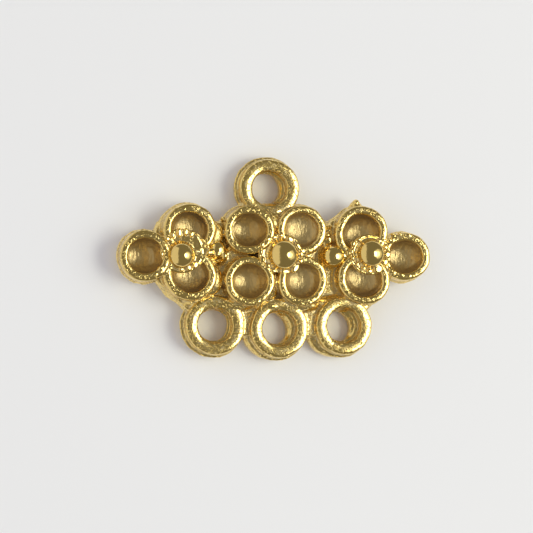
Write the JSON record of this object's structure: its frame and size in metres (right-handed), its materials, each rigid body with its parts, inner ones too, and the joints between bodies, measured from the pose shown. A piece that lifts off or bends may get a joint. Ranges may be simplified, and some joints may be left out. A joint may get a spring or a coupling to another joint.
{
  "type": "three-strand connector",
  "caption": "Cast gold-plated jewellery connector: open flower cups with beaded rosettes in a row, an eye on the upper edge and eyes for strands along the lower edge.",
  "frame": {"origin": "on the flat back, at the centre of the outline", "axes": "+X along the row of flowers, +Y towards the upper eye, +Z out of the decorated face"},
  "size_m": [0.0208, 0.0131, 0.0033],
  "materials": {
    "gold_plate": "polished gold plate on a cast, finely pitted surface, satin and darker in the hollows"
  },
  "bodies": {
    "root": {"connector": "gold_plate"}
  },
  "joints": []
}
